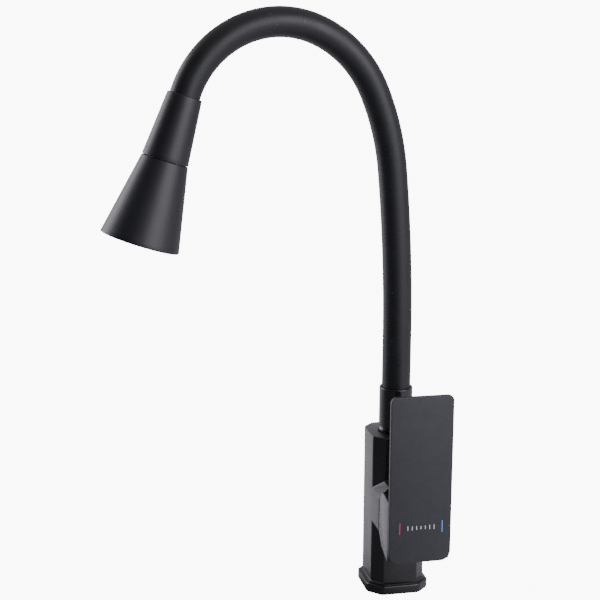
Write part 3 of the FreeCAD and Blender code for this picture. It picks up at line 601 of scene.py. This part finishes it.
def lever_block_shell():
    """Block of the lever: a bevelled bar that narrows towards the boss and flares to the plate."""
    low = boss_height - section_half - block_drop
    high = boss_height + section_half
    flat = section_half - section_chamfer
    inner_x = block_start + section_chamfer
    shell = box("lever_block_shell", (inner_x, -section_half, low), (block_end, section_half, high))
    middle = (low + high) / 2
    pick_faces(shell, lambda c: c.x > block_end - 0.01)
    flare = (1, (section_half + block_flare) / section_half, (high - low + 2 * block_rise) / (high - low))
    bpy.ops.transform.resize(value=flare, center_override=(0, 0, middle * MM))
    leave()
    pick_faces(shell, lambda c: c.x < inner_x + 0.01)
    shift = (-section_chamfer * MM, 0, (boss_height - middle) * MM)
    bpy.ops.mesh.extrude_region_move(TRANSFORM_OT_translate={"value": shift})
    bpy.ops.transform.resize(value=(1, 1, 2 * flat / (high - low)), center_override=(0, 0, boss_height * MM))
    leave()
    apply_modifier(shell, "BEVEL", width=edge_round * MM, segments=4, limit_method="ANGLE",
                   angle_limit=math.radians(12))
    inner = section_half - block_wall - 1.0
    inside_end = block_end - block_wall
    clear_x = block_start - 6
    low_edge, high_edge = block_mouth
    mouth_low = boss_height - flat + low_edge
    mouth = box("mouth", (clear_x, -inner, mouth_low), (inside_end, inner, boss_height + flat - high_edge))
    combine(shell, mouth, "DIFFERENCE")
    chamber = box("chamber", (inner_x + 1.0, -inner, boss_height - section_half + block_wall),
                  (inside_end, inner, boss_height + section_half - block_wall))
    combine(shell, chamber, "DIFFERENCE")
    ear_y, ear_half, ear_end = ear_slot
    for y in (-ear_y, ear_y):
        ear = box("ear", (clear_x, y - ear_half, boss_height - flat - 5),
                  (ear_end, y + ear_half, mouth_low + 1))
        combine(shell, ear, "DIFFERENCE")
    pivot = Vector(joints["lever_flow"]["pos_m"]) / MM
    hole_radius, hole_end = hinge_hole
    drill(shell, hole_radius, (pivot.x, hole_end, pivot.z), (pivot.x, 40, pivot.z), 32)
    screw_radius, screw_pitch, _ = plate_screws
    for y in (-screw_pitch, screw_pitch):
        drill(shell, screw_radius, (inside_end - 1, y, boss_height), (block_end + 5, y, boss_height), 32)
    smooth(shell, 35.0)
    finish_piece(shell, "lever", ["lever_block"], looks["satin_black_zinc"])


def lever_plate_shell():
    """Thin plate with two corner radii and softened edges."""
    half = section_half + block_flare
    low = boss_height - section_half - block_drop - block_rise
    high = low + plate_height
    plate = box("lever_plate_shell", (block_end, -half, low), (block_end + plate_thick, half, high))
    pick_edges(plate, lambda a, b: along_axis(a, b, 0) and a.z < low + 0.01)
    bevel_picked(plate_bottom_round, 16)
    pick_edges(plate, lambda a, b: along_axis(a, b, 0) and min(a.z, b.z) > high - 0.01)
    bevel_picked(plate_top_round, 12)
    edit(plate, "EDGE")
    pick_sharp(60)
    bevel_picked(plate_edge_round, 4)
    screw_radius, screw_pitch, screw_reach = plate_screws
    for y in (-screw_pitch, screw_pitch):
        drill(plate, screw_radius, (block_end - 5, y, boss_height),
              (block_end + screw_reach, y, boss_height), 32)
    smooth(plate, 35.0)
    finish_piece(plate, "lever", ["lever_plate"], looks["matt_grey_plate"])


# collar

def collar_shell():
    """Tube with a flared foot and a rounded rim."""
    foot = collar_radius + collar_flare
    edge, straight, rise = collar_foot
    top = collar_bottom + collar_height
    rim = collar_rim_round
    profile = [(collar_bore, collar_bottom), (foot - edge, collar_bottom)]
    profile += fillet((foot - edge, collar_bottom + edge), edge, -90, 0, 4)[1:]
    profile += [(foot, collar_bottom + straight)]
    for k in range(1, 9):
        t = k / 8
        eased = t * t * (3 - 2 * t)
        profile.append((foot - collar_flare * eased, collar_bottom + straight + rise * t))
    profile += [(collar_radius, collar_bottom + collar_height / 2), (collar_radius, top - rim)]
    profile += fillet((collar_radius - rim, top - rim), rim, 0, 90, 8)[1:]
    profile += [(collar_bore + 0.25, top), (collar_bore, top - 0.25)]
    collar = lathe("spout_collar_shell", profile, 128)
    smooth(collar, 35.0)
    finish_piece(collar, "spout", ["spout_collar"], looks["satin_black_collar"])


# silicone sleeve, one piece across each bend

spout_angle = math.radians(spout_turn - 90)
outward = Vector((math.cos(spout_angle), math.sin(spout_angle), 0))
bend_normal = Vector((-math.sin(spout_angle), math.cos(spout_angle), 0))


def station_after(station, radius, turn):
    """End of an arc that starts at a station: distance out, height and tilt in degrees."""
    out, height, tilt = station
    a, b = math.radians(tilt), math.radians(tilt + turn)
    out += radius * (math.cos(a) - math.cos(b))
    height += radius * (math.sin(b) - math.sin(a))
    return (out, height, tilt + turn)


stations = [(0.0, straight_top, 0.0)]
for arc_radius, arc_turn in zip(arc_radii, arc_turns):
    stations.append(station_after(stations[-1], arc_radius, arc_turn))


def place_of(station):
    """Point of a station in mm."""
    return outward * station[0] + Vector((0, 0, station[1]))


def heading_of(station):
    tilt = math.radians(station[2])
    return outward * math.sin(tilt) + Vector((0, 0, math.cos(tilt)))


def arc_centre(station, radius):
    tilt = math.radians(station[2])
    return place_of(station) + radius * (outward * math.cos(tilt) - Vector((0, 0, math.sin(tilt))))


def sweep(station, radius, turn):
    """Carry the picked ring along an arc. Returns the station at its end."""
    steps = max(4, round(max(turn / 2.0, radius * math.radians(turn) / 2.5)))
    bpy.ops.mesh.spin(steps=steps, angle=-math.radians(turn), center=arc_centre(station, radius) * MM,
                      axis=bend_normal)
    return station_after(station, radius, turn)


def run_straight(station, length, steps):
    """Carry the picked ring straight on."""
    stride = heading_of(station) * (length / steps)
    for _ in range(steps):
        bpy.ops.mesh.extrude_region_move(TRANSFORM_OT_translate={"value": (stride * MM).to_tuple()})
    return (station[0] + stride.dot(outward) * steps, station[1] + stride.z * steps, station[2])


def sleeve_piece(number):
    """Sleeve across one bend, from the middle of the stretch before it to the middle of the next."""
    last = len(arc_radii)
    skin = 0.02  # a hair thinner than the solid, so that the finer mesh stays inside it
    if number == 1:
        start = (0.0, collar_bottom + 10.0, 0.0)
    else:
        start = station_after(stations[number - 2], arc_radii[number - 2], arc_turns[number - 2] / 2)
    sleeve = circle(f"silicone_sleeve_{number}", sleeve_radius - skin, place_of(start), heading_of(start), 96)
    edit(sleeve, "EDGE")
    if number == 1:
        here = run_straight(start, straight_top - start[1], 30)
    else:
        here = sweep(start, arc_radii[number - 2], arc_turns[number - 2] / 2)
    whole = number == last
    here = sweep(here, arc_radii[number - 1], arc_turns[number - 1] * (1.0 if whole else 0.5))
    if whole:
        run_straight(here, sleeve_in_head, 3)
    bpy.ops.mesh.select_all(action="SELECT")
    bpy.ops.mesh.remove_doubles(threshold=1e-7)
    bpy.ops.mesh.normals_make_consistent(inside=False)
    leave()
    apply_modifier(sleeve, "SOLIDIFY", thickness=sleeve_wall * MM, offset=-1.0, use_even_offset=True)
    smooth(sleeve, 40.0)
    return sleeve


def silicone_sleeves():
    for number in range(1, len(arc_radii) + 1):
        sleeve = sleeve_piece(number)
        nodes = [f"neck_sleeve_{number}"]
        if number == len(arc_radii):
            nodes.append(f"neck_sleeve_{number + 1}")
        finish_piece(sleeve, None, nodes, looks["black_silicone"])
        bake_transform(sleeve)


# spray head

def lay_on_head(obj):
    """Move a piece built along +Z from its rim to the head's place."""
    turn = Vector(joints["spray_mode"]["axis"]).to_track_quat("Z", "Y").to_matrix().to_4x4()
    take(obj)
    obj.matrix_world = Matrix.Translation(place_of(stations[-1]) * MM) @ turn
    bpy.ops.object.transform_apply(location=True, rotation=True, scale=True)


def upper_radius(w):
    return head_rim_radius + (seam_radius - head_rim_radius) * w / upper_cone_length


def lower_radius(w):
    share = (w - upper_cone_length - seam_gap) / lower_cone_length
    return seam_radius + (mouth_radius - seam_radius) * share


def upper_cone_shell():
    """Fixed cone with a rolled rim and a web across it."""
    end = upper_cone_length
    web_top, web_end, web_bore = head_web
    rim, edge = head_rim_round, seam_edge_round
    profile = [(collar_bore, 0.3), (collar_bore + 0.2, 0.0)]
    profile += fillet((head_rim_radius - rim, rim), rim, -90, 0, 6)
    profile += [(upper_radius(w), w) for w in (4, 12, 20, 28, 36, 44)]
    profile += fillet((upper_radius(end) - edge, end - edge), edge, 0, 90, 4)
    profile += [(upper_radius(w) - upper_wall, w) for w in (end, web_end)]
    profile += [(web_bore, web_end), (web_bore, web_top), (upper_radius(web_top) - upper_wall, web_top)]
    profile += [(upper_radius(8.0) - upper_wall + 0.7, sleeve_in_head + 0.6),
                (collar_bore, sleeve_in_head + 0.5)]
    cone = lathe("head_upper_shell", profile, 144)
    lay_on_head(cone)
    smooth(cone, 35.0)
    finish_piece(cone, "head", ["head_upper_cone"], looks["satin_black_abs"])


def lower_cone_shell():
    """Turning cone with a rounded lip at its mouth."""
    start = upper_cone_length + seam_gap
    end = start + lower_cone_length
    edge, lip = seam_edge_round, mouth_lip_round
    profile = [(seam_radius - lower_wall, start)]
    profile += fillet((seam_radius - edge, start + edge), edge, -90, 0, 4)
    profile += [(lower_radius(start + w), start + w) for w in (4, 12, 20, 28, 36, 44, 52, 58)]
    profile += fillet((mouth_radius - lip - 0.16, end - lip - 0.02), lip, 0, 100, 8)
    profile += [(mouth_radius - lower_wall + 0.3, end - 0.35),
                (lower_radius(end - 0.6) - lower_wall, end - 0.9)]
    cone = lathe("head_lower_shell", profile, 160)
    lay_on_head(cone)
    smooth(cone, 35.0)
    finish_piece(cone, "spray_cone", ["head_lower_cone"], looks["satin_black_abs"])


def printed_marks():
    """Bars for hot and cold and a plain scale between them, with softened corners."""
    def bar(name, y, z, width, height):
        face = block_end + plate_thick
        mark = box(name, (face, y - width / 2, z - height / 2),
                   (face + ink_film, y + width / 2, z + height / 2))
        pick_edges(mark, lambda a, b: along_axis(a, b, 0))
        bevel_picked(0.2, 4)
        return mark

    middles = {}
    for name, slot_name in (("hot_mark", "hot_ink"), ("cold_mark", "cold_ink")):
        low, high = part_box(name)
        middle = (low + high) / 2 / MM
        middles[name] = middle
        mark = bar(name + "_print", middle.y, middle.z, bar_width, (high.z - low.z) / MM)
        finish_piece(mark, "lever", [name], looks[slot_name])
    middle = (middles["hot_mark"] + middles["cold_mark"]) / 2
    scale = bar("scale_print", middle.y, middle.z, tick_width, tick_height)
    for step in (-3, -2, -1, 1, 2, 3):
        height = tick_height + tick_growth * abs(step)
        tick = bar("tick", middle.y + tick_pitch * step, middle.z, tick_width, height)
        scale.select_set(True)
        tick.select_set(True)
        bpy.context.view_layer.objects.active = scale
        bpy.ops.object.join()
    finish_piece(scale, "lever", ["scale_marks"], looks["white_ink"])


body_shell()
lever_block_shell()
lever_plate_shell()
printed_marks()
collar_shell()
silicone_sleeves()
upper_cone_shell()
lower_cone_shell()


# floor, lights and camera

white_level = 10.0  # bright enough to show as clean white
cool_white = (0.93, 0.91, 1.0)
dark_side = (0.5, -0.866, 0.0)


def dim_to_the_left(tree, direction, bright, dim):
    """Level that falls towards the front left, as when a dark flag stands off to that side; on the floor it is
    painted shade.
    """
    towards = add(tree, "VectorMath", {0: direction, 1: dark_side}, operation="DOT_PRODUCT").outputs["Value"]
    return add(tree, "MapRange", {"Value": towards, "From Min": 0.26, "From Max": 0.87,
                                  "To Min": bright, "To Max": dim}).outputs["Result"]


def studio_floor():
    """White paper. The camera sees it evenly bright; the tap mirrors it as paper under the lights, with painted
    shade that darkens it towards the front left.
    """
    clear_selection()
    bpy.ops.mesh.primitive_plane_add(size=12.0, location=(0, 0, -0.0002))
    floor = bpy.context.object
    floor.name = "floor"
    material, tree, place = begin_material("white_paper_with_painted_shade")
    fibre = noise(tree, place, 1.5, 4.0)
    direction = add(tree, "VectorMath", {0: place}, operation="NORMALIZE").outputs["Vector"]
    # painted shade: the paper seen in reflections fades to near black towards the front left
    level = dim_to_the_left(tree, direction, 1.0, 0.22)
    lit = add(tree, "BsdfPrincipled", {
        "Base Color": tint(tree, fibre, "ececec", "f4f4f4"), "Roughness": 0.9, "Specular IOR Level": 0.0,
    })
    shaded = add(tree, "BsdfDiffuse", {"Color": (0.02, 0.02, 0.02, 1.0)})
    paper_with_painted_shade = add(tree, "MixShader", {0: level, 1: shaded.outputs["BSDF"], 2: lit.outputs["BSDF"]})
    glow = add(tree, "Emission", {"Color": (1, 1, 1, 1), "Strength": white_level})
    seen = add(tree, "LightPath").outputs["Is Camera Ray"]
    both = add(tree, "MixShader", {0: seen, 1: paper_with_painted_shade.outputs["Shader"], 2: glow.outputs["Emission"]})
    add(tree, "OutputMaterial", {"Surface": both.outputs["Shader"]})
    floor.data.materials.append(material)


def softbox(name, place, target, size, power):
    clear_selection()
    bpy.ops.object.light_add(type="AREA", location=place)
    light = bpy.context.object
    light.name = name
    light.data.shape = "RECTANGLE"
    light.data.size, light.data.size_y = size
    light.data.energy = power
    light.data.color = cool_white
    light.rotation_euler = (Vector(target) - Vector(place)).to_track_quat("-Z", "Y").to_euler()


def white_room():
    """Even white light all round, dimmed at the front left. The camera sees plain white."""
    world = bpy.data.worlds.new("studio")
    bpy.context.scene.world = world
    world.use_nodes = True
    tree = world.node_tree
    tree.nodes.clear()
    place = add(tree, "TexCoord").outputs["Generated"]
    level = dim_to_the_left(tree, place, 0.68, 0.045)
    room = add(tree, "Background", {"Color": cool_white + (1.0,), "Strength": level})
    white = add(tree, "Background", {"Color": (1, 1, 1, 1), "Strength": white_level})
    seen = add(tree, "LightPath").outputs["Is Camera Ray"]
    both = add(tree, "MixShader", {0: seen, 1: room.outputs["Background"], 2: white.outputs["Background"]})
    add(tree, "OutputWorld", {"Surface": both.outputs["Shader"]})


def camera():
    """Long lens, a little above the tap, from the lever's side."""
    eye = Vector((1.0879, -0.3058, 0.5022))
    azimuth, pitch, roll = math.radians(78.13), math.radians(13.4), math.radians(0.28)
    level = Vector((-math.sin(azimuth), math.cos(azimuth), 0))
    forward = level * math.cos(pitch) - Vector((0, 0, math.sin(pitch)))
    side = Vector((math.cos(azimuth), math.sin(azimuth), 0))
    up = side.cross(forward)
    right = side * math.cos(roll) + up * math.sin(roll)
    top = right.cross(forward)
    bpy.ops.object.camera_add(location=eye)
    made = bpy.context.object
    made.matrix_world = Matrix.Translation(eye) @ Matrix((right, top, -forward)).transposed().to_4x4()
    made.data.lens = 90.0
    made.data.sensor_width = 36.0
    made.data.clip_start = 0.05
    made.data.clip_end = 30.0
    bpy.context.scene.camera = made


studio_floor()
white_room()
softbox("left_key", (-0.9, -1.25, 0.5), (0, 0, 0.25), (1.0, 1.4), 20.0)
softbox("right_key", (1.32, 0.9, 0.85), (0.03, -0.05, 0.25), (1.5, 1.3), 31.0)
camera()
